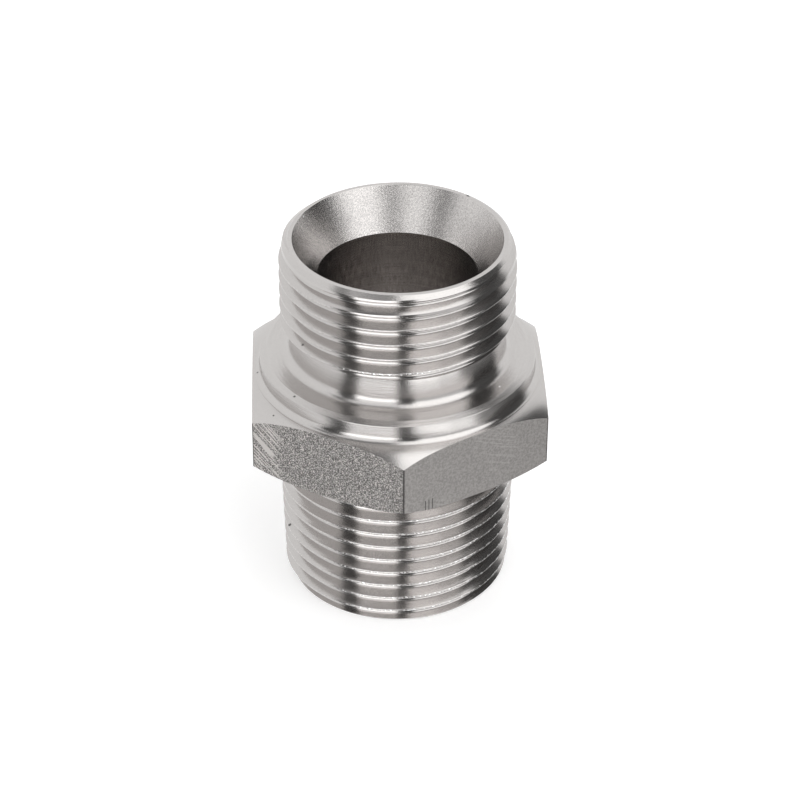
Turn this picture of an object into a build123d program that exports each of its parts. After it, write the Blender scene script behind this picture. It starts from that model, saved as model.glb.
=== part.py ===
from build123d import *
import math
import os

# Hexagon adapter nipple, turned from one length of hexagon bar. Millimetres, +Z up along the bore.
# The origin is on the bore's axis, in the plane of the lower end face that the fitting stands on.
# One corner of the hexagon points along -Y, so two of its flats face along X.

# Whole fitting
TOTAL_HEIGHT = 54.7
BORE_RADIUS = 11.2
BORE_EDGE_CHAMFER = 0.4

# Pipe thread form: 11 threads to the inch, 55 degree flanks, flat crests and roots
PITCH = 25.4 / 11
HALF_FLANK_ANGLE = 27.5
THREAD_DEPTH = 0.640327 * PITCH
CREST_WIDTH = PITCH / 6
CREST_AZIMUTH = -99.3

# Upper parallel thread, size G 1, with the height of one crest at CREST_AZIMUTH
PARALLEL_RADIUS = 16.5
PARALLEL_CREST_HEIGHT = 42.8

# Lower taper thread, size R 1, one in sixteen on the diameter
TAPER_SLOPE = 1 / 32
TAPER_END_RADIUS = 16.25
TAPER_CREST_HEIGHT = 18.5
END_FACE_RADIUS = 15.35
END_CHAMFER_HEIGHT = 1.1

# Mouth of the upper end: cone seat, narrow flat rim, then the bevel that starts the thread
SEAT_HALF_ANGLE = 30.0
MOUTH_RADIUS = 14.6
RIM_RADIUS = 15.25
RIM_BEVEL_RADIUS = 16.0
RIM_BEVEL_DROP = 1.15
THREAD_START_DROP = 2.8

# Undercut neck below the parallel thread
NECK_RADIUS = 15.0
NECK_TOP = 41.0
NECK_BEVEL_TOP = 42.5
NECK_FILLET = 1.4

# Round collar on top of the hexagon
COLLAR_TOP = 36.7
COLLAR_FACE_RADIUS = 18.4
COLLAR_RADIUS = 19.4
COLLAR_EDGE_DROP = 0.35
COLLAR_FILLET = 0.9

# Wrench hexagon, both faces chamfered by turned cones, measured where its corners meet them.
# The upper face is chamfered twice: steeply from the corners in to the break, then at the shallow angle.
HEX_SIDES = 6
HEX_TURN = 30.0
HEX_ACROSS_FLATS = 41.0
HEX_BOTTOM = 23.3
HEX_CORNER_BOTTOM = 25.0
HEX_CORNER_TOP = 32.2
HEX_TOP_BREAK_RADIUS = 22.3
HEX_TOP_BREAK_HEIGHT = 33.1
HEX_TOP_CHAMFER = 17.0
HEX_BOTTOM_CHAMFER = 22.0

# How far cutting shapes and overlapping solids run past the surfaces that they meet
PROUD = 0.25
OVERLAP = 2.0

# Turns of groove, and beyond it turns of plain rod, past each end of the length that a thread is used on
SPARE_TURNS = 2


def tangent(degrees):
    return math.tan(math.radians(degrees))


def turned(corners):
    """A solid of revolution from (radius, height, fillet radius) corners, in order."""
    points = [(radius, height) for radius, height, fillet_radius in corners]
    fillets = [fillet_radius for radius, height, fillet_radius in corners]
    if any(fillets):
        outline = FilletPolyline(*points, radius=fillets, close=True)
    else:
        outline = Polyline(*points, close=True)
    return revolve(Plane.XZ * make_face(outline), axis=Axis.Z)


def thread_groove(crest_radius, start_height, turns, cone_angle):
    """The helical groove between one thread's crests, starting at azimuth 0."""
    half_mouth = (PITCH - CREST_WIDTH) / 2 + PROUD * tangent(HALF_FLANK_ANGLE)
    half_root = CREST_WIDTH / 2
    helix = Helix(PITCH, turns * PITCH, crest_radius, center=(0, 0, start_height), cone_angle=cone_angle)
    section = make_face(
        Polyline(
            (PROUD, -half_mouth),
            (PROUD, half_mouth),
            (-THREAD_DEPTH, half_root),
            (-THREAD_DEPTH, -half_root),
            close=True,
        )
    )
    start_plane = Plane(origin=helix @ 0, x_dir=(1, 0, 0), z_dir=(0, 1, 0))
    return sweep(start_plane * section, path=helix, is_frenet=True)


def threaded_rod(base_radius, slope, crest_height, lowest, highest):
    """A rod threaded from lowest to highest and past both, with plain ends, for trimming to length.

    Its radius over the crests is base_radius at height 0 and grows by slope with height.
    One crest passes CREST_AZIMUTH at crest_height.
    """
    spare = SPARE_TURNS * PITCH
    rod_bottom = lowest - 2 * spare
    rod_top = highest + 2 * spare
    rod = turned(
        [
            (0, rod_bottom, 0),
            (base_radius + slope * rod_bottom, rod_bottom, 0),
            (base_radius + slope * rod_top, rod_top, 0),
            (0, rod_top, 0),
        ]
    )
    groove_height = crest_height + PITCH / 2 - PITCH * CREST_AZIMUTH / 360
    groove_bottom = lowest - spare + (groove_height - lowest) % PITCH
    turns = math.ceil((highest - lowest) / PITCH) + SPARE_TURNS
    cone_angle = math.degrees(math.atan(slope))
    return rod - thread_groove(base_radius + slope * groove_bottom, groove_bottom, turns, cone_angle)


def upper_spigot():
    """The parallel thread, from inside the neck up to the rim, with its start and run-out bevelled."""
    threaded = threaded_rod(PARALLEL_RADIUS, 0, PARALLEL_CREST_HEIGHT, NECK_TOP, TOTAL_HEIGHT)
    run_out_slope = (PARALLEL_RADIUS - NECK_RADIUS) / (NECK_BEVEL_TOP - NECK_TOP)
    start_slope = (PARALLEL_RADIUS - RIM_BEVEL_RADIUS) / (THREAD_START_DROP - RIM_BEVEL_DROP)
    outside = PARALLEL_RADIUS + PROUD
    trimming = turned(
        [
            (0, NECK_TOP - OVERLAP, 0),
            (NECK_RADIUS, NECK_TOP - OVERLAP, 0),
            (NECK_RADIUS, NECK_TOP, 0),
            (outside, NECK_BEVEL_TOP + PROUD / run_out_slope, 0),
            (outside, TOTAL_HEIGHT - THREAD_START_DROP - PROUD / start_slope, 0),
            (RIM_BEVEL_RADIUS, TOTAL_HEIGHT - RIM_BEVEL_DROP, 0),
            (RIM_RADIUS, TOTAL_HEIGHT, 0),
            (0, TOTAL_HEIGHT, 0),
        ]
    )
    return threaded & trimming


def lower_spigot():
    """The taper thread, from the lower end face up into the hexagon, with its end chamfered."""
    threaded = threaded_rod(TAPER_END_RADIUS, TAPER_SLOPE, TAPER_CREST_HEIGHT, 0, HEX_BOTTOM)
    chamfer_slope = (TAPER_END_RADIUS - END_FACE_RADIUS) / END_CHAMFER_HEIGHT
    outside = TAPER_END_RADIUS + OVERLAP
    trimming = turned(
        [
            (0, 0, 0),
            (END_FACE_RADIUS, 0, 0),
            (outside, (outside - END_FACE_RADIUS) / chamfer_slope, 0),
            (outside, HEX_BOTTOM + OVERLAP, 0),
            (0, HEX_BOTTOM + OVERLAP, 0),
        ]
    )
    return threaded & trimming


def hexagon_and_collar():
    """The chamfered wrench hexagon with the round collar and the filleted foot of the neck."""
    corner_radius = HEX_ACROSS_FLATS / math.sqrt(3)
    top_slope = (HEX_TOP_BREAK_HEIGHT - HEX_CORNER_TOP) / (corner_radius - HEX_TOP_BREAK_RADIUS)
    bottom_slope = tangent(HEX_BOTTOM_CHAMFER)
    outside = corner_radius + PROUD
    underside_radius = corner_radius - (HEX_CORNER_BOTTOM - HEX_BOTTOM) / bottom_slope
    collar_foot = HEX_TOP_BREAK_HEIGHT + (HEX_TOP_BREAK_RADIUS - COLLAR_RADIUS) * tangent(HEX_TOP_CHAMFER)
    neck_end = NECK_TOP - OVERLAP / 2
    profile = turned(
        [
            (0, HEX_BOTTOM, 0),
            (underside_radius, HEX_BOTTOM, 0),
            (outside, HEX_CORNER_BOTTOM + PROUD * bottom_slope, 0),
            (outside, HEX_CORNER_TOP - PROUD * top_slope, 0),
            (HEX_TOP_BREAK_RADIUS, HEX_TOP_BREAK_HEIGHT, 0),
            (COLLAR_RADIUS, collar_foot, COLLAR_FILLET),
            (COLLAR_RADIUS, COLLAR_TOP - COLLAR_EDGE_DROP, 0),
            (COLLAR_FACE_RADIUS, COLLAR_TOP, 0),
            (NECK_RADIUS, COLLAR_TOP, NECK_FILLET),
            (NECK_RADIUS, neck_end, 0),
            (0, neck_end, 0),
        ]
    )
    hexagon = RegularPolygon(HEX_ACROSS_FLATS / 2, HEX_SIDES, major_radius=False, rotation=HEX_TURN)
    bar = Pos(0, 0, HEX_BOTTOM) * extrude(hexagon, amount=neck_end - HEX_BOTTOM)
    return bar & profile


def bore_and_seat():
    """The through bore, its lower edge break and the cone seat in the upper mouth."""
    seat_slope = tangent(SEAT_HALF_ANGLE)
    seat_bottom = TOTAL_HEIGHT - (MOUTH_RADIUS - BORE_RADIUS) / seat_slope
    return turned(
        [
            (0, -PROUD, 0),
            (BORE_RADIUS + BORE_EDGE_CHAMFER + PROUD, -PROUD, 0),
            (BORE_RADIUS, BORE_EDGE_CHAMFER, 0),
            (BORE_RADIUS, seat_bottom, 0),
            (MOUTH_RADIUS + PROUD * seat_slope, TOTAL_HEIGHT + PROUD, 0),
            (0, TOTAL_HEIGHT + PROUD, 0),
        ]
    )


def nipple_body():
    """The whole fitting as the one solid that it is turned as."""
    return hexagon_and_collar() + lower_spigot() + upper_spigot() - bore_and_seat()


os.makedirs("parts", exist_ok=True)
export_step(nipple_body(), "parts/nipple_body.step")
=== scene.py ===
import math

import bpy
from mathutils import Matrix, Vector


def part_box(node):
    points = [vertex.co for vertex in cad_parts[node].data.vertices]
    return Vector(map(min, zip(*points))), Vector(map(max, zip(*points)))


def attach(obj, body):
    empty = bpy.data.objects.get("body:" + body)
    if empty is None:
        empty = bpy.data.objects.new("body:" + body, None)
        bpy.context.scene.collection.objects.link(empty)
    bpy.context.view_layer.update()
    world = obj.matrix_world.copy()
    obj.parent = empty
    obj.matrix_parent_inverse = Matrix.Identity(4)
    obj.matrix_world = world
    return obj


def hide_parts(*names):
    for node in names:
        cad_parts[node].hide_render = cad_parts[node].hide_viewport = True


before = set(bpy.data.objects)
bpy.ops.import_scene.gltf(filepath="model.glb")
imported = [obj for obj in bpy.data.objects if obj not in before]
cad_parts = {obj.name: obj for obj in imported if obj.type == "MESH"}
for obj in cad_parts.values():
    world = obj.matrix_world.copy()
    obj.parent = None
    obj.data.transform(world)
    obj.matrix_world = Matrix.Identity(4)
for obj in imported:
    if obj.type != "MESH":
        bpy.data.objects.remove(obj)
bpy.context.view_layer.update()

# The fitting's own sizes, in metres. Radii are from the axis of the bore, heights from the lower end face.
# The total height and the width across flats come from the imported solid.
lowest_corner, highest_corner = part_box("nipple_body")
TOTAL_HEIGHT = highest_corner.z
HALF_ACROSS_FLATS = highest_corner.x
BORE_RADIUS = 0.0112
BORE_EDGE = 0.0004

# Pipe thread form: 11 threads to the inch, 55 degrees between flanks, round crests and roots
PITCH = 0.0254 / 11
FLANK_TILT = math.radians(62.5)
CREST_ROUND = 0.0002
ROOT_ROUND = 0.0005
CREST_AZIMUTH = math.radians(-99.3)

# Upper parallel thread, the heights and radii of its run-out, start and rim bevel
PARALLEL_RADIUS = 0.0165
PARALLEL_CREST = 0.0428
NECK_RADIUS = 0.015
NECK_TOP = 0.041
RUN_OUT_TOP = 0.0425
THREAD_START = 0.0519
RIM_BEVEL_BOTTOM = 0.05355
RIM_BEVEL_RADIUS = 0.01605
RIM_BREAK = 0.0542
RIM_BREAK_RADIUS = 0.01595
RIM_RADIUS = 0.01525
MOUTH_RADIUS = 0.0146
SEAT_HEIGHT = 0.04881

# Lower taper thread and its chamfered end
TAPER_SLOPE = 1 / 32
TAPER_END_RADIUS = 0.01625
TAPER_CREST = 0.0185
END_FACE_RADIUS = 0.01535
END_CHAMFER_SLOPE = 0.82

# Round collar, from its foot on the hexagon to the flat ring round the neck
COLLAR_TOP = 0.0367
COLLAR_RADIUS = 0.0194
COLLAR_FACE_RADIUS = 0.0184
COLLAR_EDGE_DROP = 0.00035
COLLAR_FILLET = 0.0009
NECK_FILLET = 0.0014
EDGE_ROUND = 0.0001

# Wrench hexagon. Both faces are crowned: from the corners they rise steeply and then level out.
HEX_BOTTOM = 0.0233
HEX_SIDES = 6
HEX_CORNER_RADIUS = HALF_ACROSS_FLATS / math.cos(math.pi / HEX_SIDES)
TOP_CORNER_HEIGHT = 0.0322
TOP_SLOPE = 0.782
TOP_CURVE = 91.5
BOTTOM_CORNER_HEIGHT = 0.025
BOTTOM_SLOPE = 0.538
BOTTOM_CURVE = 41.9
UNDERSIDE_RADIUS = 0.0181
COLLAR_FOOT_RADIUS = 0.0203

# How finely the piece is divided: columns round the axis, and steps along a pitch, a round and a crown
COLUMNS = 240
ARC_STEPS = 8
FLANK_STEPS = 2
ROUND_STEPS = 4
CROWN_STEPS = 6
MERGE_STEP = 1e-7

# Columns of the surface: evenly round the axis, with one close to each side of every corner of the hexagon,
# for the narrow strip along the corner, which is painted nearly black: painted shade, a painted dark
# reflection on the edge
CORNER_TURNS = [math.tau * (corner + 0.5) / HEX_SIDES for corner in range(HEX_SIDES)]
CORNER_ROUND = math.radians(0.3)
TURNS = sorted(
    [math.tau * column / COLUMNS for column in range(COLUMNS + 1)]
    + [turn + side * CORNER_ROUND for turn in CORNER_TURNS for side in (-1, 1)]
)

# The floor, and the light added to it where the camera sees it, so that it is as white as the tent
FLOOR_HALF_SIZE = 3.0
FLOOR_LIFT = 0.36

# The photograph's camera, and the width of the film that its focal length goes with
CAMERA_PLACE = (-0.01253, -0.31767, 0.2422)
CAMERA_AIM = (0.0004, 0.0, 0.0277)
CAMERA_ROLL = math.radians(0.298)
CAMERA_LENS = 120.9
FILM_WIDTH = 36.0

FINISHES = [
    "turned_face",
    "thread_flank",
    "thread_crest",
    "crown",
    "hexagon_flat",
    # the narrow strip along each hexagon corner, painted nearly black as painted shade
    "corner_painted_dark",
    "cone_seat",
    "bore_wall",
]

# Small marks on the metal, each with its place and radius in metres: dark nicks and bright specks. The three
# short upright cuts near the lower edge of the front right flat have a place along it, from its middle.
NICKS = [
    (-0.01975, -0.00172, 0.03395, 0.00016),
    (-0.01333, -0.00868, 0.04299, 0.0002),
    (-0.01456, -0.01183, 0.03657, 0.00018),
    (-0.0175, -0.01196, 0.03357, 0.00014),
    (-0.01573, -0.00431, 0.00916, 0.00028),
    (0.01035, 0.01111, 0.0547, 0.0003),
]
SPECKS = [
    (-0.0129, 0.00646, 0.0544, 0.00016),
    (-0.00951, 0.00592, 0.04688, 0.00018),
    (-0.00723, 0.00856, 0.04442, 0.00014),
    (0.01089, -0.01254, 0.01199, 0.0003),
    (0.01107, -0.01258, 0.0367, 0.00016),
    (0.01243, -0.01287, 0.0367, 0.00013),
    (0.01369, -0.01043, 0.0367, 0.00015),
]
CUTS = [-0.0083, -0.00773, -0.00716]
CUT_BOTTOM = 0.0242
CUT_TOP = 0.0258
CUT_EDGE = (0.00004, 0.00009)

# The front flats face 30 degrees to either side of the front corner
FLAT_COSINE = 0.866
FLAT_SINE = 0.5

# The slant of the scratches, how many there are to a metre across and along it, and where the thick ones
# end, measured from the middle of the flat
SCRATCH_SLANT = (0.643, 0.765)
SCRATCHES_ACROSS = 4200.0
SCRATCHES_DOWN = 170.0
SCRATCHED_END = (-0.0085, -0.0065)

# Burrs on the crests of the taper thread and of the last turn above the neck. Both fade out to the left, and
# those of the last turn to the right too.
BURRS_PER_METRE = 2600.0
TAPER_BURRS = 0.7
LAST_TURN_TOP = (0.0431, 0.0433)
BURRS_LEFT = (-0.01, -0.006)
BURRS_RIGHT = (0.003, 0.006)

# Studio light: a white tent whose sides are panels of other brightness. A panel has its left and right edges
# in degrees of azimuth, to the right of the direction in which the hexagon's front corner points, its lower
# and upper edges in degrees above the horizon, the lean of its sides in degrees of azimuth per degree of
# height, half the width of its soft edge, and its brightness.
TENT_LIGHT = 0.98
PANELS = [
    ("leaning right softbox", -75, 36, 18, 72, 1.5, 3, 1.7),
    ("left tent", -190, -60, 16, 70, 0.0, 2, 0.98),
    ("left softbox, low part", -43, -2, -90, -22, 0.0, 1.2, 0.85),
    ("left softbox, middle", -43, -2, -24, 18, 0.0, 1.2, 2.2),
    ("left softbox, high part", -60, -2, 16, 64, 0.0, 1.5, 1.1),
    ("left card", -62, -44, -90, 42, -0.05, 2.5, 0.1),
    ("left card, upper part", -28, -4, 40, 66, -1.2, 5, 0.2),
    ("right softbox, low part", 12, 66, -90, -24, 0.0, 3, 1.5),
    ("right softbox, middle", 14, 68, -24, 18, 0.0, 3, 0.7),
    ("right softbox, low near part", 12, 42, -90, -24, 0.0, 3, 1.9),
    ("front gap, low part", -2, 9, -90, -22, 0.0, 2.5, 0.14),
    ("front gap", -2, 15, -23, 45, 0.0, 1.5, 0.08),
    ("right card", 68, 116, -22, 22, 0.0, 4, 0.07),
    ("right card, upper part", 48, 98, 20, 60, 1.0, 4, 0.07),
    ("right low card", 68, 118, -90, -20, 0.0, 4, 0.3),
    ("left ceiling", -190, -1, 66, 91, 0.0, 3, 0.24),
    ("overhead softbox", 3, 190, 69, 91, 0.0, 3, 1.7),
]


def normal_of(start, end):
    """The outward normal of a stretch, with the solid on the left of the walk."""
    along = (end[0] - start[0], end[1] - start[1])
    length = math.hypot(*along)
    if length < MERGE_STEP:
        return (0.0, 0.0)
    return (along[1] / length, -along[0] / length)


class Section:
    """The fitting's section at one azimuth, walked from the lower end outwards, up and back down the bore.

    Each stretch between two points has the normals at its two ends, a finish, and the lead of its helix.
    """

    def __init__(self):
        self.points = []
        self.stretches = []

    def start(self, point):
        self.points.append(point)

    def line_to(self, point, finish):
        normal = normal_of(self.points[-1], point)
        self.add(point, normal, normal, finish, 0.0)

    def add(self, point, start_normal, end_normal, finish, lead):
        self.points.append(point)
        self.stretches.append((start_normal, end_normal, finish, lead))

    def round_corner(self, corner, following, radius, finish):
        """Goes to a corner and round it, towards the following corner."""
        first = normal_of(self.points[-1], corner)
        second = normal_of(corner, following)
        across = first[0] * second[1] - first[1] * second[0]
        turn = math.atan2(across, first[0] * second[0] + first[1] * second[1])
        side = math.copysign(1.0, turn)
        cut = radius * math.tan(abs(turn) / 2)
        arc_start = (corner[0] + first[1] * cut, corner[1] - first[0] * cut)
        self.line_to(arc_start, finish)
        last = first
        for step in range(1, ROUND_STEPS + 1):
            angle = turn * step / ROUND_STEPS
            normal = (
                first[0] * math.cos(angle) - first[1] * math.sin(angle),
                first[0] * math.sin(angle) + first[1] * math.cos(angle),
            )
            point = (
                arc_start[0] + side * radius * (normal[0] - first[0]),
                arc_start[1] + side * radius * (normal[1] - first[1]),
            )
            self.add(point, last, normal, finish, 0.0)
            last = normal


def thread_form():
    """One pitch of the thread from crest to crest: height, depth below the crest, and tilt of the normal."""
    crest_end = CREST_ROUND * math.sin(FLANK_TILT)
    crest_drop = CREST_ROUND * (1 - math.cos(FLANK_TILT))
    root_start = PITCH / 2 - ROOT_ROUND * math.sin(FLANK_TILT)
    flank_drop = (root_start - crest_end) * math.tan(FLANK_TILT)
    depth = crest_drop + flank_drop + ROOT_ROUND * (1 - math.cos(FLANK_TILT))
    rows = []
    for step in range(ARC_STEPS // 2):
        tilt = FLANK_TILT * step / (ARC_STEPS // 2)
        rows.append((CREST_ROUND * math.sin(tilt), CREST_ROUND * (1 - math.cos(tilt)), tilt))
    for step in range(FLANK_STEPS):
        share = step / FLANK_STEPS
        height = crest_end + share * (root_start - crest_end)
        rows.append((height, crest_drop + share * flank_drop, FLANK_TILT))
    for step in range(ARC_STEPS // 2):
        tilt = FLANK_TILT * (1 - step / (ARC_STEPS // 2))
        height = PITCH / 2 - ROOT_ROUND * math.sin(tilt)
        rows.append((height, depth - ROOT_ROUND * (1 - math.cos(tilt)), tilt))
    half = len(rows)
    rows.append((PITCH / 2, depth, 0.0))
    for height, drop, tilt in reversed(rows[1:half]):
        rows.append((PITCH - height, drop, -tilt))
    return rows


THREAD_FORM = thread_form()


def thread_rows(azimuth, crest_height, lowest, highest, radius, slope):
    """Points and normals of a thread's section at one azimuth, reaching a turn or more past both ends."""
    rows = []
    first_crest = crest_height - PITCH * CREST_AZIMUTH / math.tau
    turns_down = math.ceil((first_crest - lowest) / PITCH) + 1
    first_crest -= turns_down * PITCH
    turns = math.ceil((highest - lowest) / PITCH) + 3
    for turn in range(turns):
        for height, drop, tilt in THREAD_FORM:
            z = first_crest + turn * PITCH + height + PITCH * azimuth / math.tau
            rows.append((radius + slope * z - drop, z, (math.cos(tilt), math.sin(tilt))))
    return rows


def envelope_at(envelope, z):
    """Radius of a turned outline of (height, radius) corners at height z, its end stretches running on."""
    for (z0, r0), (z1, r1) in zip(envelope, envelope[1:]):
        if z <= z1 or (z1, r1) == envelope[-1]:
            return r0 + (r1 - r0) * (z - z0) / (z1 - z0)


def meeting_point(first, second, height):
    """The point at a height on the line through two (radius, height) points."""
    share = (height - first[1]) / (second[1] - first[1])
    return (first[0] + share * (second[0] - first[0]), height)


def turn_down(points, envelope):
    """Brings each point outside the envelope onto it, the nearest ones to where the line crosses it."""
    over = [r - envelope_at(envelope, z) for r, z in points]
    turned = list(points)
    for k, (r, z) in enumerate(points):
        if over[k] > 0:
            turned[k] = (envelope_at(envelope, z), z)
            for other in (k - 1, k + 1):
                if 0 <= other < len(points) and over[other] <= 0:
                    share = over[k] / (over[k] - over[other])
                    turned[k] = (r + share * (points[other][0] - r), z + share * (points[other][1] - z))
    return turned, [amount > 0 for amount in over]


def cut_to_length(points, lowest, highest):
    """Draws the points beyond two planes back to where the line crosses them."""
    first = next(k for k, (r, z) in enumerate(points) if z > lowest)
    last = max(k for k, (r, z) in enumerate(points) if z < highest)
    bottom = meeting_point(points[first - 1], points[first], lowest)
    top = meeting_point(points[last], points[last + 1], highest)
    return [bottom] * first + points[first : last + 1] + [top] * (len(points) - last - 1)


def thread_finish(step):
    """The finish of one step of the thread's form, counted up from a crest."""
    from_crest = min(step, len(THREAD_FORM) - 1 - step)
    return "thread_crest" if from_crest < ARC_STEPS // 2 - 1 else "thread_flank"


def thread_section(section, rows, envelope, lowest, highest):
    """Adds a thread that is cut to length and turned down to an envelope wherever it stands outside it."""
    turned, was_over = turn_down([(r, z) for r, z, normal in rows], envelope)
    cut = cut_to_length(turned, lowest, highest)
    section.line_to(cut[0], "turned_face")
    for k in range(len(cut) - 1):
        if was_over[k] and was_over[k + 1]:
            normal = normal_of(turned[k], turned[k + 1])
            section.add(cut[k + 1], normal, normal, "turned_face", 0.0)
        else:
            section.add(cut[k + 1], rows[k][2], rows[k + 1][2], thread_finish(k % len(THREAD_FORM)), PITCH)


def crown_height(radius, corner_height, slope, curve):
    """Height of a crowned hexagon face at a radius; a negative slope and curve give the underside."""
    inward = HEX_CORNER_RADIUS - radius
    return corner_height + slope * inward - curve * inward**2


def crown_to(section, radius, corner_height, slope, curve):
    """Follows a crowned face of the hexagon to another radius."""
    start_radius = section.points[-1][0]
    outward = 1.0 if radius > start_radius else -1.0
    normals = []
    radii = [start_radius + (radius - start_radius) * step / CROWN_STEPS for step in range(CROWN_STEPS + 1)]
    for r in radii:
        tilt = slope - 2 * curve * (HEX_CORNER_RADIUS - r)
        length = math.hypot(1.0, tilt)
        normals.append((-outward * tilt / length, -outward / length))
    for step in range(CROWN_STEPS):
        point = (radii[step + 1], crown_height(radii[step + 1], corner_height, slope, curve))
        section.add(point, normals[step], normals[step + 1], "crown", 0.0)


def section_at(azimuth):
    """The whole section of the fitting at one azimuth."""
    side = math.tau / HEX_SIDES
    flat_radius = HALF_ACROSS_FLATS / math.cos((azimuth + side / 2) % side - side / 2)
    section = Section()
    section.start((BORE_RADIUS + BORE_EDGE, 0.0))

    chamfer_top = 0.0045
    end_envelope = [(0.0, END_FACE_RADIUS), (chamfer_top, END_FACE_RADIUS + END_CHAMFER_SLOPE * chamfer_top)]
    rows = thread_rows(azimuth, TAPER_CREST, 0.0, HEX_BOTTOM, TAPER_END_RADIUS, TAPER_SLOPE)
    thread_section(section, rows, end_envelope, 0.0, HEX_BOTTOM)

    section.line_to((UNDERSIDE_RADIUS, HEX_BOTTOM), "crown")
    crown_to(section, flat_radius, BOTTOM_CORNER_HEIGHT, -BOTTOM_SLOPE, -BOTTOM_CURVE)
    flat_top = crown_height(flat_radius, TOP_CORNER_HEIGHT, TOP_SLOPE, TOP_CURVE)
    section.line_to((flat_radius, flat_top), "hexagon_flat")
    crown_to(section, COLLAR_FOOT_RADIUS, TOP_CORNER_HEIGHT, TOP_SLOPE, TOP_CURVE)

    foot = (COLLAR_RADIUS, crown_height(COLLAR_FOOT_RADIUS, TOP_CORNER_HEIGHT, TOP_SLOPE, TOP_CURVE))
    collar_edge = (COLLAR_RADIUS, COLLAR_TOP - COLLAR_EDGE_DROP)
    face_edge = (COLLAR_FACE_RADIUS, COLLAR_TOP)
    neck_foot = (NECK_RADIUS, COLLAR_TOP)
    section.round_corner(foot, collar_edge, COLLAR_FILLET, "turned_face")
    section.round_corner(collar_edge, face_edge, EDGE_ROUND, "turned_face")
    section.round_corner(face_edge, neck_foot, EDGE_ROUND, "turned_face")
    section.round_corner(neck_foot, (NECK_RADIUS, NECK_TOP), NECK_FILLET, "turned_face")
    section.line_to((NECK_RADIUS, NECK_TOP), "turned_face")

    upper_envelope = [
        (NECK_TOP, NECK_RADIUS),
        (RUN_OUT_TOP, PARALLEL_RADIUS),
        (THREAD_START, PARALLEL_RADIUS),
        (RIM_BEVEL_BOTTOM, RIM_BEVEL_RADIUS),
        (RIM_BREAK, RIM_BREAK_RADIUS),
        (TOTAL_HEIGHT, RIM_RADIUS),
    ]
    rows = thread_rows(azimuth, PARALLEL_CREST, NECK_TOP, TOTAL_HEIGHT, PARALLEL_RADIUS, 0.0)
    thread_section(section, rows, upper_envelope, NECK_TOP, TOTAL_HEIGHT)

    mouth = (MOUTH_RADIUS, TOTAL_HEIGHT)
    seat_foot = (BORE_RADIUS, SEAT_HEIGHT)
    section.round_corner(mouth, seat_foot, EDGE_ROUND, "turned_face")
    section.line_to(seat_foot, "cone_seat")
    section.line_to((BORE_RADIUS, BORE_EDGE), "bore_wall")
    section.line_to((BORE_RADIUS + BORE_EDGE, 0.0), "turned_face")
    return section


def spin(section_function):
    """Joins the sections at all columns into the faces of one closed surface."""
    sections = [section_function(azimuth) for azimuth in TURNS]
    vertices = []
    index_of = {}

    def vertex(column, row):
        r, z = sections[column].points[row]
        azimuth = TURNS[column]
        place = (r * math.cos(azimuth), r * math.sin(azimuth), z)
        key = tuple(round(value / MERGE_STEP) for value in place)
        if key not in index_of:
            index_of[key] = len(vertices)
            vertices.append(place)
        return index_of[key]

    def corner_normal(column, row, end, flat_azimuth):
        stretch = sections[column].stretches[row]
        azimuth = TURNS[column]
        if stretch[2] == "hexagon_flat":
            at_corner = min(abs(azimuth - turn) for turn in CORNER_TURNS) < CORNER_ROUND / 2
            facing = azimuth if at_corner else flat_azimuth
            return (math.cos(facing), math.sin(facing), 0.0)
        out, up = stretch[end]
        r = sections[column].points[row + end][0]
        round_axis = -up * stretch[3] / (math.tau * r)
        return (
            out * math.cos(azimuth) - round_axis * math.sin(azimuth),
            out * math.sin(azimuth) + round_axis * math.cos(azimuth),
            up,
        )

    faces = []
    normals = []
    finishes = []
    side = math.tau / HEX_SIDES
    for column in range(len(TURNS) - 1):
        flat_azimuth = round((TURNS[column] + TURNS[column + 1]) / 2 / side) * side
        for row in range(len(sections[0].stretches)):
            corners = [(column, row, 0), (column + 1, row, 0), (column + 1, row, 1), (column, row, 1)]
            face = []
            face_normals = []
            for at_column, at_row, end in corners:
                index = vertex(at_column, at_row + end)
                if index not in face:
                    face.append(index)
                    face_normals.append(corner_normal(at_column, at_row, end, flat_azimuth))
            if len(face) > 2:
                faces.append(face)
                normals += face_normals
                finish = sections[column].stretches[row][2]
                # The narrow columns at the hexagon's corners get the near-black finish: painted shade for
                # the dark reflection along each edge
                if finish == "hexagon_flat" and TURNS[column + 1] - TURNS[column] < 1.5 * CORNER_ROUND:
                    finish = "corner_painted_dark"
                finishes.append(FINISHES.index(finish))
    return vertices, faces, normals, finishes


def build_nipple(materials):
    """The visible fitting, one closed mesh with true helical threads."""
    vertices, faces, normals, finishes = spin(section_at)
    mesh = bpy.data.meshes.new("nipple")
    mesh.from_pydata(vertices, [], faces)
    for finish in FINISHES:
        mesh.materials.append(materials[finish])
    mesh.polygons.foreach_set("material_index", finishes)
    mesh.polygons.foreach_set("use_smooth", [True] * len(faces))
    mesh.normals_split_custom_set(normals)
    piece = bpy.data.objects.new("nipple", mesh)
    bpy.context.scene.collection.objects.link(piece)
    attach(piece, "root")
    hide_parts("nipple_body")
    return piece


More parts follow.
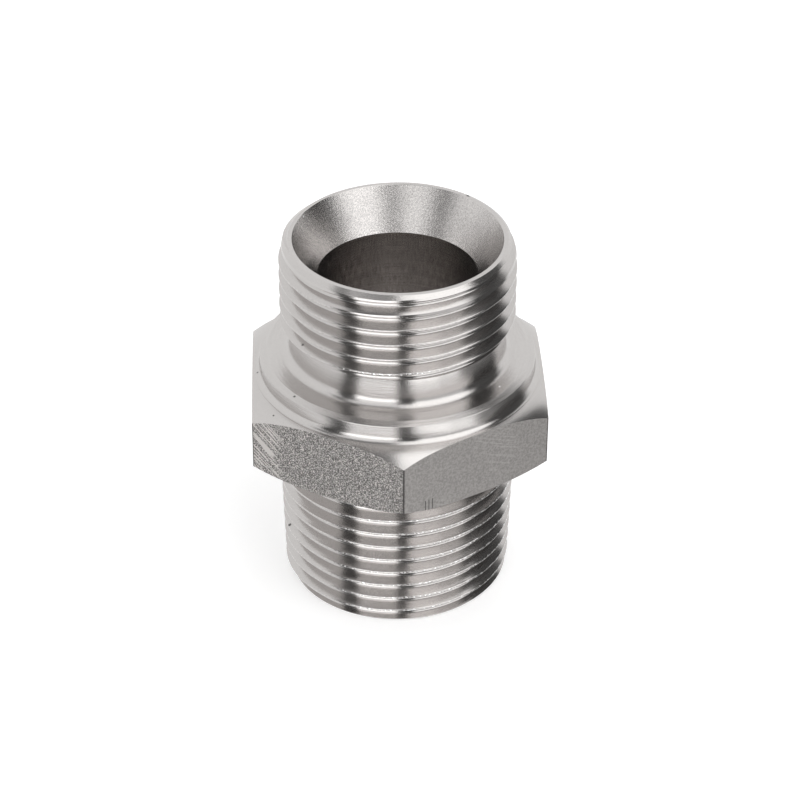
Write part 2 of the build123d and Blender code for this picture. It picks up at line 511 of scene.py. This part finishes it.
class Nodes:
    """Short ways to place and link the nodes of one tree."""

    def __init__(self, tree):
        self.tree = tree

    def add(self, kind, inputs=None, **settings):
        node = self.tree.nodes.new(kind)
        for name, value in settings.items():
            setattr(node, name, value)
        for name, value in (inputs or {}).items():
            self.feed(value, node.inputs[name])
        return node

    def feed(self, value, socket):
        if isinstance(value, bpy.types.NodeSocket):
            self.tree.links.new(value, socket)
        else:
            socket.default_value = value

    def math(self, operation, *values):
        node = self.add("ShaderNodeMath", operation=operation)
        for socket, value in zip(node.inputs, values):
            self.feed(value, socket)
        return node.outputs[0]

    def between(self, value, low, high, to_low=0.0, to_high=1.0):
        """A smooth step from to_low to to_high as the value goes from low to high."""
        inputs = {"Value": value, "From Min": low, "From Max": high, "To Min": to_low, "To Max": to_high}
        return self.add("ShaderNodeMapRange", inputs, interpolation_type="SMOOTHSTEP").outputs[0]

    def mix(self, share, first, second):
        inputs = {"Factor": share, "A": first, "B": second}
        return self.add("ShaderNodeMix", inputs).outputs[0]

    def mix_colour(self, share, first, second):
        node = self.add("ShaderNodeMix", {0: share, 6: first, 7: second}, data_type="RGBA")
        return node.outputs[2]


def new_group(name, inputs, outputs):
    """An empty node group with plain number inputs, its Nodes, and its input and output nodes."""
    tree = bpy.data.node_groups.new(name, "ShaderNodeTree")
    for socket, value in inputs.items():
        made = tree.interface.new_socket(socket, in_out="INPUT", socket_type="NodeSocketFloat")
        made.default_value = value
    for socket in outputs:
        tree.interface.new_socket(socket, in_out="OUTPUT", socket_type="NodeSocketFloat")
    nodes = Nodes(tree)
    return tree, nodes, nodes.add("NodeGroupInput").outputs, nodes.add("NodeGroupOutput").inputs


def place_group(nodes, tree, values):
    """Places a node group with its own values and gives its outputs."""
    node = nodes.tree.nodes.new("ShaderNodeGroup")
    node.node_tree = tree
    for name, value in values.items():
        nodes.feed(value, node.inputs[name])
    return node.outputs


def round_axis(nodes):
    """Place on a turned surface: height, radius and angle round the bore, in metres and radians."""
    place = nodes.add("ShaderNodeTexCoord").outputs["Object"]
    x, y, z = nodes.add("ShaderNodeSeparateXYZ", {0: place}).outputs
    squares = nodes.math("ADD", nodes.math("MULTIPLY", x, x), nodes.math("MULTIPLY", y, y))
    radius = nodes.math("SQRT", squares)
    turn = nodes.math("ABSOLUTE", nodes.math("ARCTAN2", x, nodes.math("MULTIPLY", y, -1.0)))
    return z, radius, turn


def lathe_lines_group():
    """Fine rings left by the turning tool: a height from 0 to 1, and a slower change of tone."""
    inputs = {"Lines per metre": 4000.0, "Breaks": 3.0}
    tree, nodes, given, result = new_group("lathe_lines", inputs, ["Height", "Tone"])
    z, radius, turn = round_axis(nodes)
    along = nodes.math("ADD", z, nodes.math("MULTIPLY", radius, 0.83))
    across = nodes.math("MULTIPLY", along, given["Lines per metre"])
    round_it = nodes.math("MULTIPLY", turn, given["Breaks"])
    vector = nodes.add("ShaderNodeCombineXYZ", {0: across, 1: round_it}).outputs[0]
    fine = nodes.add("ShaderNodeTexNoise", {"Vector": vector, "Scale": 1.0, "Detail": 2.0})
    slow = nodes.add("ShaderNodeTexNoise", {"Vector": vector, "Scale": 0.15, "Detail": 1.0})
    nodes.feed(fine.outputs["Fac"], result["Height"])
    nodes.feed(slow.outputs["Fac"], result["Tone"])
    return tree


def grain_group():
    """All-round grain of the metal: a height, light and dark specks, and cloudy patches, from 0 to 1."""
    outputs = ["Height", "Specks", "Clouds"]
    tree, nodes, given, result = new_group("grain", {"Grains per metre": 4000.0}, outputs)
    place = nodes.add("ShaderNodeTexCoord").outputs["Object"]
    inputs = {"Vector": place, "Scale": given["Grains per metre"], "Detail": 3.0, "Roughness": 0.7}
    fine = nodes.add("ShaderNodeTexNoise", inputs)
    clouds = nodes.add("ShaderNodeTexNoise", {"Vector": place, "Scale": 260.0, "Detail": 3.0})
    nodes.feed(fine.outputs["Fac"], result["Height"])
    nodes.feed(nodes.between(fine.outputs["Fac"], 0.34, 0.66), result["Specks"])
    nodes.feed(nodes.between(clouds.outputs["Fac"], 0.3, 0.7), result["Clouds"])
    return tree


def front_left_flat(nodes):
    """A mask of the hexagon's front left flat."""
    place = nodes.add("ShaderNodeTexCoord").outputs["Object"]
    x, y, z = nodes.add("ShaderNodeSeparateXYZ", {0: place}).outputs
    sideways = nodes.math("MULTIPLY", x, -FLAT_SINE)
    facing = nodes.math("ADD", sideways, nodes.math("MULTIPLY", y, -FLAT_COSINE))
    return nodes.between(facing, HALF_ACROSS_FLATS - 0.0002, HALF_ACROSS_FLATS - 0.0001)


def scratches_group():
    """Slanting scratches, thick at the left end of the front left flat and faint on the other front ones."""
    tree, nodes, given, result = new_group("scratches", {"Spread": 0.25}, ["Mask"])
    place = nodes.add("ShaderNodeTexCoord").outputs["Object"]
    x, y, z = nodes.add("ShaderNodeSeparateXYZ", {0: place}).outputs
    sideways = nodes.math("MULTIPLY", x, FLAT_COSINE)
    along_flat = nodes.math("SUBTRACT", sideways, nodes.math("MULTIPLY", y, FLAT_SINE))
    rise, run = SCRATCH_SLANT
    across = nodes.math("ADD", nodes.math("MULTIPLY", along_flat, rise), nodes.math("MULTIPLY", z, run))
    down = nodes.math("SUBTRACT", nodes.math("MULTIPLY", along_flat, run), nodes.math("MULTIPLY", z, rise))
    across = nodes.math("MULTIPLY", across, SCRATCHES_ACROSS)
    inputs = {0: across, 1: nodes.math("MULTIPLY", down, SCRATCHES_DOWN)}
    slanting = nodes.add("ShaderNodeCombineXYZ", inputs).outputs[0]
    streaks = nodes.add("ShaderNodeTexNoise", {"Vector": slanting, "Scale": 1.0, "Detail": 0.0})
    lines = nodes.between(streaks.outputs["Fac"], 0.54, 0.62)
    at_left = nodes.between(along_flat, *SCRATCHED_END, 1.0, 0.0)
    left_end = nodes.math("MULTIPLY", at_left, front_left_flat(nodes))
    patches = nodes.add("ShaderNodeTexNoise", {"Vector": place, "Scale": 150.0, "Detail": 1.0})
    elsewhere = nodes.math("MULTIPLY", nodes.between(patches.outputs["Fac"], 0.5, 0.62), given["Spread"])
    elsewhere = nodes.math("MULTIPLY", elsewhere, nodes.math("LESS_THAN", y, 0.0))
    nodes.feed(nodes.math("MULTIPLY", lines, nodes.math("MAXIMUM", left_end, elsewhere)), result["Mask"])
    return tree


def marks_group():
    """The small marks that the fitting has picked up: masks of the dark nicks and of the bright specks."""
    tree, nodes, given, result = new_group("marks", {"Size": 1.0}, ["Nicks", "Specks"])
    place = nodes.add("ShaderNodeTexCoord").outputs["Object"]
    for output, marks in (("Nicks", NICKS), ("Specks", SPECKS)):
        mask = 0.0
        for x, y, z, radius in marks:
            away = nodes.add("ShaderNodeVectorMath", {0: place, 1: (x, y, z)}, operation="DISTANCE")
            edge = nodes.math("MULTIPLY", given["Size"], radius)
            inside = nodes.math("LESS_THAN", away.outputs["Value"], edge)
            mask = nodes.math("MAXIMUM", mask, inside)
        if output == "Nicks":
            mask = nodes.math("MAXIMUM", mask, cuts_mask(nodes, place))
        nodes.feed(mask, result[output])
    return tree


def cuts_mask(nodes, place):
    """The three short upright cuts in the front right flat."""
    x, y, z = nodes.add("ShaderNodeSeparateXYZ", {0: place}).outputs
    sideways = nodes.math("MULTIPLY", x, FLAT_COSINE)
    along_flat = nodes.math("ADD", sideways, nodes.math("MULTIPLY", y, FLAT_SINE))
    mask = 0.0
    for cut in CUTS:
        away = nodes.math("ABSOLUTE", nodes.math("SUBTRACT", along_flat, cut))
        mask = nodes.math("MAXIMUM", mask, nodes.between(away, *CUT_EDGE, 1.0, 0.0))
    mask = nodes.math("MULTIPLY", mask, nodes.math("GREATER_THAN", z, CUT_BOTTOM))
    mask = nodes.math("MULTIPLY", mask, nodes.math("LESS_THAN", z, CUT_TOP))
    on_front = nodes.math("MULTIPLY", nodes.math("LESS_THAN", y, -0.01), nodes.math("GREATER_THAN", x, 0.0))
    return nodes.math("MULTIPLY", mask, on_front)


def marked(nodes, groups, tone, colour):
    """A tone of the metal with its nicks and specks."""
    marks = place_group(nodes, groups["marks"], {"Size": 1.0})
    nicked = nodes.mix_colour(marks["Nicks"], tone, shaded(colour, 0.25))
    return nodes.mix_colour(marks["Specks"], nicked, (1.0, 1.0, 1.0, 1.0))


def metal(name, colour, roughness, anisotropy):
    """A bare metal: its material, nodes and shader. The turning marks run round the axis of the bore."""
    material = bpy.data.materials.new(name)
    material.use_nodes = True
    nodes = Nodes(material.node_tree)
    shader = material.node_tree.nodes["Principled BSDF"]
    shader.inputs["Base Color"].default_value = (*colour, 1.0)
    shader.inputs["Metallic"].default_value = 1.0
    shader.inputs["Roughness"].default_value = roughness
    if anisotropy:
        shader.inputs["Anisotropic"].default_value = anisotropy
        shader.inputs["Anisotropic Rotation"].default_value = 0.25
        tangent = nodes.add("ShaderNodeTangent", direction_type="RADIAL", axis="Z").outputs[0]
        nodes.feed(tangent, shader.inputs["Tangent"])
    return material, nodes, shader


def bump(nodes, shader, height, depth):
    """Relief of a given depth in metres."""
    relief = nodes.add("ShaderNodeBump", {"Height": height, "Distance": depth})
    nodes.feed(relief.outputs[0], shader.inputs["Normal"])


def shaded(colour, share):
    """A colour made lighter or darker, as a shader takes it."""
    return (*(min(1.0, value * share) for value in colour), 1.0)


def turned_metal(name, groups, colour, roughness, anisotropy, lines, line_depth, contrast):
    """Metal finished on a lathe, with its rings."""
    material, nodes, shader = metal(name, colour, roughness, anisotropy)
    rings = place_group(nodes, groups["lathe_lines"], {"Lines per metre": lines})
    grain = place_group(nodes, groups["grain"], {"Grains per metre": 5000.0})
    relief = nodes.math("ADD", rings["Height"], nodes.math("MULTIPLY", grain["Height"], 0.3))
    bump(nodes, shader, relief, line_depth)
    polish = nodes.between(rings["Tone"], 0.3, 0.7, roughness * 0.85, roughness * 1.2)
    nodes.feed(polish, shader.inputs["Roughness"])
    specks = nodes.math("MULTIPLY", grain["Specks"], 0.4)
    share = nodes.math("ADD", nodes.math("MULTIPLY", rings["Height"], 0.6), specks)
    tone = nodes.mix_colour(share, shaded(colour, 1 - contrast), shaded(colour, 1 + contrast))
    nodes.feed(marked(nodes, groups, tone, colour), shader.inputs["Base Color"])
    return material


def grained_metal(name, groups, colour, roughness, anisotropy, grains, grain_depth, contrast):
    """Metal with an all-round grain."""
    material, nodes, shader = metal(name, colour, roughness, anisotropy)
    grain = place_group(nodes, groups["grain"], {"Grains per metre": grains})
    bump(nodes, shader, grain["Height"], grain_depth)
    clouds = nodes.math("MULTIPLY", grain["Clouds"], 0.2)
    share = nodes.math("ADD", nodes.math("MULTIPLY", grain["Specks"], 0.8), clouds)
    tone = nodes.mix_colour(share, shaded(colour, 1 - contrast), shaded(colour, 1 + contrast))
    nodes.feed(marked(nodes, groups, tone, colour), shader.inputs["Base Color"])
    return material


def crest_metal(name, groups, colour, roughness):
    """The crests of the threads, with bright burrs."""
    material, nodes, shader = metal(name, colour, roughness, 0.5)
    grain = place_group(nodes, groups["grain"], {"Grains per metre": 4500.0})
    place = nodes.add("ShaderNodeTexCoord").outputs["Object"]
    x, y, z = nodes.add("ShaderNodeSeparateXYZ", {0: place}).outputs
    on_taper = nodes.math("MULTIPLY", nodes.math("LESS_THAN", z, HEX_BOTTOM), TAPER_BURRS)
    under_top = nodes.between(z, *LAST_TURN_TOP, 1.0, 0.0)
    on_last_turn = nodes.math("MULTIPLY", nodes.math("GREATER_THAN", z, NECK_TOP), under_top)
    on_last_turn = nodes.math("MULTIPLY", on_last_turn, nodes.between(x, *BURRS_RIGHT, 1.0, 0.0))
    burred = nodes.math("MAXIMUM", on_taper, on_last_turn)
    burred = nodes.math("MULTIPLY", burred, nodes.between(x, *BURRS_LEFT))
    torn = nodes.add("ShaderNodeTexNoise", {"Vector": place, "Scale": BURRS_PER_METRE, "Detail": 1.0})
    burrs = nodes.math("MULTIPLY", nodes.between(torn.outputs["Fac"], 0.54, 0.62), burred)
    tone = nodes.mix_colour(grain["Specks"], shaded(colour, 0.85), shaded(colour, 1.15))
    nodes.feed(nodes.mix_colour(burrs, tone, (1.0, 1.0, 1.0, 1.0)), shader.inputs["Base Color"])
    relief = nodes.math("ADD", nodes.math("MULTIPLY", grain["Height"], 0.25), burrs)
    bump(nodes, shader, relief, 5e-5)
    return material


def bored_metal(name, groups, colour, roughness):
    """The drilled bore, with the chatter of the drill across its rings."""
    material, nodes, shader = metal(name, colour, roughness, 0.0)
    rings = place_group(nodes, groups["lathe_lines"], {"Lines per metre": 4200.0, "Breaks": 1.0})
    z, radius, turn = round_axis(nodes)
    inputs = {0: nodes.math("MULTIPLY", turn, 55.0), 1: nodes.math("MULTIPLY", z, 500.0)}
    chatter_place = nodes.add("ShaderNodeCombineXYZ", inputs).outputs[0]
    chatter = nodes.add("ShaderNodeTexNoise", {"Vector": chatter_place, "Scale": 1.0, "Detail": 1.0})
    share = nodes.between(nodes.math("ADD", rings["Height"], chatter.outputs["Fac"]), 0.7, 1.3)
    tone = nodes.mix_colour(share, shaded(colour, 0.8), shaded(colour, 1.17))
    nodes.feed(marked(nodes, groups, tone, colour), shader.inputs["Base Color"])
    bump(nodes, shader, share, 1e-5)
    return material


def bar_stock(name, groups, colour, roughness):
    """The drawn surface of the hexagon bar: coarse on the front left flat, smoother elsewhere."""
    material, nodes, shader = metal(name, colour, roughness, 0.0)
    grain = place_group(nodes, groups["grain"], {"Grains per metre": 6200.0})
    fine = place_group(nodes, groups["grain"], {"Grains per metre": 3000.0})
    scratches = place_group(nodes, groups["scratches"], {"Spread": 0.12})
    coarse = front_left_flat(nodes)
    sparkle = nodes.between(grain["Height"], 0.45, 0.64)
    rough_tone = nodes.mix_colour(sparkle, shaded(colour, 0.4), shaded(colour, 2.3))
    fine_tone = nodes.mix_colour(fine["Specks"], shaded(colour, 0.72), shaded(colour, 1.0))
    tone = nodes.mix_colour(coarse, fine_tone, rough_tone)
    scratched = nodes.mix_colour(scratches["Mask"], tone, shaded(colour, 1.9))
    nodes.feed(marked(nodes, groups, scratched, colour), shader.inputs["Base Color"])
    relief = nodes.mix(coarse, nodes.math("MULTIPLY", fine["Height"], 0.25), grain["Height"])
    scratch_depth = nodes.math("MULTIPLY", scratches["Mask"], 0.5)
    bump(nodes, shader, nodes.math("SUBTRACT", relief, scratch_depth), 4e-5)
    return material


def build_materials():
    groups = {
        "lathe_lines": lathe_lines_group(),
        "grain": grain_group(),
        "scratches": scratches_group(),
        "marks": marks_group(),
    }
    steel = (0.585, 0.565, 0.553)
    # The thread flanks are a little darker than the steel: painted shade in the thread's grooves
    flank = (0.56, 0.54, 0.528)
    # Nearly black for the strips along the hexagon's corners: painted shade, a painted dark reflection along
    # each edge
    painted_corner_shade = (0.1, 0.096, 0.093)
    bar = (0.38, 0.364, 0.353)
    bore = (0.555, 0.53, 0.515)
    return {
        "turned_face": turned_metal("turned_face", groups, steel, 0.2, 0.93, 3400.0, 2.4e-5, 0.07),
        "thread_flank": turned_metal("thread_flank", groups, flank, 0.17, 0.7, 5000.0, 6e-6, 0.08),
        "thread_crest": crest_metal("thread_crest", groups, steel, 0.15),
        "crown": turned_metal("crown", groups, steel, 0.22, 0.85, 3000.0, 1e-5, 0.05),
        "hexagon_flat": bar_stock("hexagon_flat", groups, bar, 0.38),
        # The corner strips, painted nearly black as painted shade
        "corner_painted_dark": grained_metal("corner_painted_dark", groups, painted_corner_shade, 0.3, 0.0, 4000.0, 5e-6, 0.2),
        "cone_seat": grained_metal("cone_seat", groups, steel, 0.2, 0.5, 5500.0, 3e-5, 0.22),
        "bore_wall": bored_metal("bore_wall", groups, bore, 0.25),
    }


def build_camera():
    camera_data = bpy.data.cameras.new("camera")
    camera_data.lens = CAMERA_LENS
    camera_data.sensor_width = FILM_WIDTH
    camera_data.clip_start = 0.01
    camera_data.clip_end = 20.0
    camera = bpy.data.objects.new("camera", camera_data)
    bpy.context.scene.collection.objects.link(camera)
    camera.location = CAMERA_PLACE
    camera.rotation_euler = (Vector(CAMERA_AIM) - Vector(CAMERA_PLACE)).to_track_quat("-Z", "Y").to_euler()
    camera.rotation_euler.rotate_axis("Z", CAMERA_ROLL)
    bpy.context.scene.camera = camera


def panel_group():
    """How much of a direction one panel of the tent covers, from 0 to 1."""
    inputs = dict.fromkeys(["Azimuth", "Height", "Left", "Right", "Low", "High", "Lean", "Soft"], 0.0)
    tree, nodes, given, result = new_group("panel", inputs, ["Share"])
    leaning = nodes.math("MULTIPLY", given["Lean"], given["Height"])
    upright = nodes.math("SUBTRACT", given["Azimuth"], leaning)
    share = None
    edges = [
        (upright, "Left", 0.0, 1.0),
        (upright, "Right", 1.0, 0.0),
        (given["Height"], "Low", 0.0, 1.0),
        (given["Height"], "High", 1.0, 0.0),
    ]
    for value, edge, before, after in edges:
        start = nodes.math("SUBTRACT", given[edge], given["Soft"])
        end = nodes.math("ADD", given[edge], given["Soft"])
        step = nodes.between(value, start, end, before, after)
        share = step if share is None else nodes.math("MULTIPLY", share, step)
    nodes.feed(share, result["Share"])
    return tree


def build_world():
    """The white tent with its panels. The camera sees it plain white."""
    world = bpy.data.worlds.new("tent")
    world.use_nodes = True
    nodes = Nodes(world.node_tree)
    direction = nodes.add("ShaderNodeTexCoord").outputs["Generated"]
    x, y, z = nodes.add("ShaderNodeSeparateXYZ", {0: direction}).outputs
    towards_front = nodes.math("MULTIPLY", y, -1.0)
    azimuth = nodes.math("DEGREES", nodes.math("ARCTAN2", x, towards_front))
    height = nodes.math("DEGREES", nodes.math("ARCSINE", z))
    panel = panel_group()
    light = TENT_LIGHT
    for name, left, right, low, high, lean, soft, brightness in PANELS:
        place = {"Azimuth": azimuth, "Height": height, "Left": left, "Right": right}
        place |= {"Low": low, "High": high, "Lean": lean, "Soft": soft}
        light = nodes.mix(place_group(nodes, panel, place)["Share"], light, brightness)
    seen = nodes.add("ShaderNodeLightPath").outputs["Is Camera Ray"]
    background = world.node_tree.nodes["Background"]
    nodes.feed(nodes.mix(seen, light, 1.0), background.inputs["Strength"])
    background.inputs["Color"].default_value = (1.0, 1.0, 1.0, 1.0)
    world.cycles.sampling_method = "MANUAL"
    world.cycles.sample_map_resolution = 512
    bpy.context.scene.world = world


def build_floor():
    """A pale floor that keeps the fitting's shadow. The metal mirrors the tent where the floor would be."""
    mesh = bpy.data.meshes.new("floor")
    half = FLOOR_HALF_SIZE
    corners = [(-half, -half, 0), (half, -half, 0), (half, half, 0), (-half, half, 0)]
    mesh.from_pydata(corners, [], [(0, 1, 2, 3)])
    material = bpy.data.materials.new("floor")
    material.use_nodes = True
    nodes = Nodes(material.node_tree)
    shader = material.node_tree.nodes["Principled BSDF"]
    shader.inputs["Base Color"].default_value = (0.9, 0.9, 0.9, 1.0)
    shader.inputs["Roughness"].default_value = 1.0
    shader.inputs["Specular IOR Level"].default_value = 0.0
    shader.inputs["Emission Color"].default_value = (1.0, 1.0, 1.0, 1.0)
    path = nodes.add("ShaderNodeLightPath").outputs
    nodes.feed(nodes.math("MULTIPLY", path["Is Camera Ray"], FLOOR_LIFT), shader.inputs["Emission Strength"])
    through = nodes.add("ShaderNodeBsdfTransparent").outputs[0]
    inputs = {0: path["Is Glossy Ray"], 1: shader.outputs[0], 2: through}
    mixed = nodes.add("ShaderNodeMixShader", inputs)
    nodes.feed(mixed.outputs[0], material.node_tree.nodes["Material Output"].inputs["Surface"])
    mesh.materials.append(material)
    floor = bpy.data.objects.new("floor", mesh)
    bpy.context.scene.collection.objects.link(floor)


build_nipple(build_materials())
build_camera()
build_world()
build_floor()
bpy.context.scene.view_settings.view_transform = "Standard"
